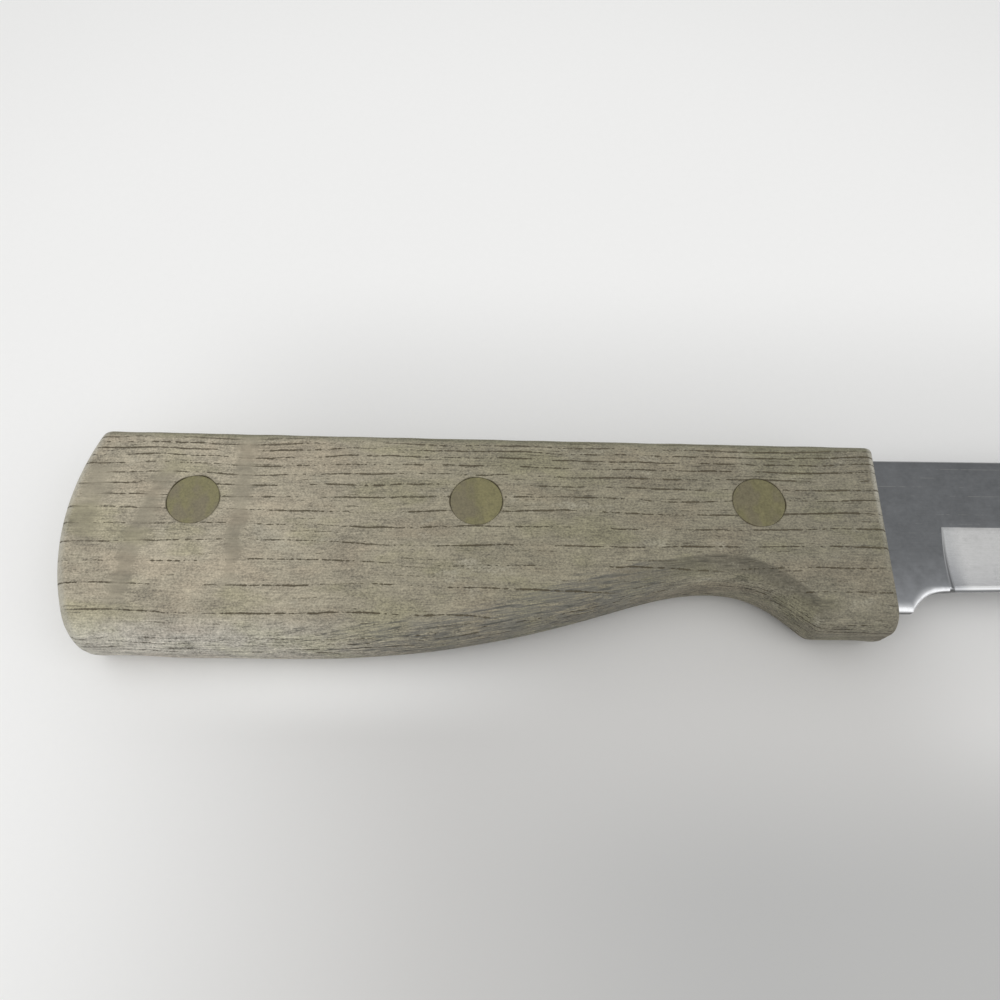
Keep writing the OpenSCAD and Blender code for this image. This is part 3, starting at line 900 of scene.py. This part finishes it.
def flat_steel():
    """Dark slate flats, paler towards the heel, with a polished gleam along the heel and the choil."""
    finish, shade, rough, height = steel("slate_flats", FLATS, 0.36, 0.45)
    x, depth = finish.x, finish.depth
    blur = finish.noise((x * 0.7, depth * 0.7, 0.0), 3)
    shade = finish.coat(shade, HEEL_FLATS, (depth + blur * 8.0).step(15.0, 27.5) * 0.75)
    scratch = pore_rows(finish, depth * 0.62 + 0.1, 1.6, 0.02, 4.0, 0.035)
    shade = finish.coat(shade, SCRATCHES, scratch * depth.step(16.0, 11.0) * 0.4)
    shade = finish.coat(shade, SPINE_GLEAM, depth.step(0.3, 0.1) * 0.7)
    gap = edge_gap(finish)
    gleam = (gap + blur * 0.6).step(x.step(PLUNGE_AT, 4.0) * 1.4 + 0.9, 0.0).math("POWER", 2.0)
    shade = finish.coat(shade, EDGE_GLEAM, gleam)
    # Painted shade: the heel's narrow underside darker
    under = abs(finish.z).step(0.5, 0.4) * gap.step(0.2, 0.05)
    shade = finish.coat(shade, UNDERSIDE_SHADE, under * 0.9)
    return finish.finish(shade, rough - gleam * 0.12, height)


def hollow_steel():
    """The polished hollow, a little greyer towards the edge and beside the plunge line."""
    finish, shade, rough, height = steel("polished_hollow", HOLLOWS, 0.22, 0.08)
    x, depth = finish.x, finish.depth
    shade = finish.coat(shade, LOW_HOLLOW, depth.step(14.0, 23.0) * 0.5)
    shade = finish.coat(shade, REAR_HOLLOW, x.step(PLUNGE_AT + 4.0, PLUNGE_AT + 1.0) * 0.5)
    beside = (x - PLUNGE_AT - depth * 0.05).step(3.2, 0.2) * depth.step(12.0, 22.0)
    shade = finish.coat(shade, PLUNGE_SHADE, beside * 0.7)
    gap = edge_gap(finish)
    shade = finish.coat(shade, BEVEL_GLEAM, gap.spot(0.46, 0.16) * 0.4)
    # Painted shade: a dark line along the lowest part of the bevel
    shade = finish.coat(shade, BEVEL_SHADE, gap.step(0.34, 0.16))
    return finish.finish(shade, rough, height)


def brass():
    """Dull brass, tarnished to olive, with taupe smears, small pits and a brighter middle rivet."""
    finish = Finish("tarnished_brass", 0.35)
    x, y, z = finish.x, finish.y, finish.z
    smear = finish.noise((x * 0.3, y * 0.2, z * 0.2), 2)
    cloud = finish.noise((x * 1.3, y * 1.3, z), 3, 0.6)
    pits = finish.noise((x * 3.0, y * 3.0, z * 3.0), 2, 0.6)
    colour = finish.coat(finish.colour(OLIVE), TAUPE, smear.step(-0.06, 0.1))
    middle = rivet_place(1)[0]
    bright = (x + y * 0.2 + cloud * 1.2).step(middle - 1.6, middle - 1.1) * x.step(middle + 9, middle + 7)
    colour = finish.coat(colour, BRIGHT_BRASS, bright * 0.5)
    colour = finish.coat(colour, SHADY_BRASS, x.step(-100.0, -50.0) * 0.3)
    colour = colour.mix(cloud * 0.7 + pits * 0.8 + 1.0, 1.0, "MULTIPLY")
    colour = finish.coat(colour, PITS, pits.step(0.16, 0.24) * 0.6)
    return finish.finish(colour, cloud * 0.4 + 0.45, pits * 0.006)


def dress(piece, replaced, material=None):
    """Gives a piece its material, if any, and lets it ride the knife's body in place of a CAD node, which it
    hides.
    """
    if material:
        piece.data.materials.append(material)
    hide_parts(replaced)
    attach(piece, "root")


dress(make_handle(), "handle", Oak().dressed())
dress(make_blade((flat_steel(), hollow_steel())), "blade")
brass_finish = brass()
for number, rivet in enumerate(RIVETS):
    dress(make_post(number, rivet), rivet + "_rivet_post", brass_finish)
    dress(make_socket(number, rivet), rivet + "_rivet_socket", brass_finish)

# The table: half its width, and its colours, as three parts from 0 to 255; the lower, corner and spine ones
# are painted shade and shadow, the belly's painted light
TABLE_REACH = 4000
UPPER_TABLE = (244, 244, 243)
LOWER_TABLE_SHADE = (203, 202, 200)
CORNER_TABLE_SHADE = (181, 181, 180)
BELLY_TABLE_LIGHT = (243, 243, 242)
SPINE_TABLE_SHADOW = (227, 227, 226)
FAR_TABLE = (238, 238, 237)
# Where its painted shade starts and ends, along the knife and across it
LOWER_ALONG, LOWER_ACROSS = (-140.0, -60.0), (8.0, -34.0)
RIGHT_ALONG, RIGHT_ACROSS = (-5.0, 20.0), (-60.0, -40.0)
CORNER_ALONG, CORNER_ACROSS = (-85.0, -20.0), (-38.0, -66.0)
SPINE_ALONG, SPINE_ABOVE, SPINE_BELOW = (-130.0, -80.0), (46.0, 10.0), (-2.0, 2.0)
# The painted light spot under the belly, which lightens its shadow: its middle and its reach, along the
# knife and across it
SPOT_ALONG, SPOT_ACROSS = (-92.0, 50.0), (-34.5, 10.0)
# The distances from the middle over which the painted shade gives way to the far table
FADE = (108.0, 210.0)
# The middle of the knife's part in the picture, which the lamps turn to
MIDDLE = (-60.0, -15.0)
# Radiance of the sky
SKY = 0.66
# The lamps: their places from the origin, width and height, in metres, and their radiance
WINDOW = ((-0.26, 0.04, 0.5), 0.5, 0.5, 0.85)
SKY_BOX = ((0.36, -0.22, 0.5), 0.6, 0.8, 0.8)


def table():
    """A pale table top, with painted shade towards the lower right of the picture, and evenly pale far away.
    """
    finish = Finish("pale_table")
    x, y = finish.x, finish.y
    corners = [(-1, -1), (1, -1), (1, 1), (-1, 1)]
    points = [(side * TABLE_REACH, end * TABLE_REACH, -HALF_THICK) for side, end in corners]
    top = make_mesh("table_top", points, [(0, 1, 2, 3)])
    right = x.step(*RIGHT_ALONG) * y.step(*RIGHT_ACROSS) * -0.3 + 1.0
    lower = x.step(*LOWER_ALONG) * y.step(*LOWER_ACROSS) * right
    # Painted shade towards the lower right, deeper in its corner
    colour = finish.coat(finish.colour(UPPER_TABLE), LOWER_TABLE_SHADE, lower)
    colour = finish.coat(colour, CORNER_TABLE_SHADE, x.step(*CORNER_ALONG) * y.step(*CORNER_ACROSS) * 0.9)
    # Painted light under the belly
    colour = finish.coat(colour, BELLY_TABLE_LIGHT, x.spot(*SPOT_ALONG) * y.spot(*SPOT_ACROSS) * 0.95)
    # Painted shadow along the spine
    along_spine = x.step(*SPINE_ALONG) * y.step(*SPINE_ABOVE) * y.step(*SPINE_BELOW)
    colour = finish.coat(colour, SPINE_TABLE_SHADOW, along_spine)
    colour = finish.coat(colour, FAR_TABLE, finish.distance(*MIDDLE).step(*FADE))
    grain = finish.noise((x * 0.8, y * 0.8, 0.0), 2)
    colour = colour.mix(grain * 0.02 + 1.0, 1.0, "MULTIPLY")
    top.data.materials.append(finish.finish(colour, grain * 0.2 + 0.6, grain * 0.01))


def sky():
    """A plain white sky, which lights everything softly."""
    world = bpy.data.worlds.new("sky")
    bpy.context.scene.world = world
    world.use_nodes = True
    background = world.node_tree.nodes["Background"]
    background.inputs["Color"].default_value = (1, 1, 1, 1)
    background.inputs["Strength"].default_value = SKY


def soft_box(name, place, width, height, glow):
    """A lamp at a place, whose rectangular face glows evenly and is turned to the middle."""
    data = bpy.data.lights.new(name, "AREA")
    data.shape = "RECTANGLE"
    data.size = width
    data.size_y = height
    data.energy = glow * math.pi * width * height
    lamp = bpy.data.objects.new(name, data)
    lamp.location = ORIGIN + Vector(place)
    ahead = Vector((*MIDDLE, 0)) * MM - Vector(place)
    lamp.rotation_euler = ahead.to_track_quat("-Z", "Y").to_euler()
    bpy.context.scene.collection.objects.link(lamp)


# The photograph's view, from a fit of the outline: how far the eye is from the upper face, its tilt and roll
# in degrees, the place on that face that it looks at, and its lens
EYE_DISTANCE = 114
EYE_TILT = 25
EYE_ROLL = -0.7
EYE_X = 58.91
EYE_Y = 10.16
FOCAL = 27.0
SENSOR = 36
# Metres in front of the eye from where on it sees
NEAR = 0.01


def camera():
    """The photograph's view: close above the handle, tilted towards the belly side."""
    tilt, roll = math.radians(EYE_TILT), math.radians(EYE_ROLL)
    ahead = Vector((0, math.sin(tilt), -math.cos(tilt)))
    up = Vector((0, math.cos(tilt), math.sin(tilt)))
    right = Vector((1, 0, 0))
    turned_right = right * math.cos(roll) - up * math.sin(roll)
    turned_up = up * math.cos(roll) + right * math.sin(roll)
    place = Vector((-EYE_X, -EYE_Y, HALF_THICK)) - ahead * EYE_DISTANCE
    data = bpy.data.cameras.new("photo_view")
    data.sensor_width = SENSOR
    data.lens = FOCAL
    data.clip_start = NEAR
    eye = bpy.data.objects.new("photo_view", data)
    turn = Matrix((turned_right, turned_up, -ahead)).transposed().to_4x4()
    eye.matrix_world = Matrix.Translation(ORIGIN + place * MM) @ turn
    bpy.context.scene.collection.objects.link(eye)
    bpy.context.scene.camera = eye


table()
sky()
soft_box("window", *WINDOW)
soft_box("sky_box", *SKY_BOX)
camera()
bpy.context.scene.view_settings.view_transform = "Standard"
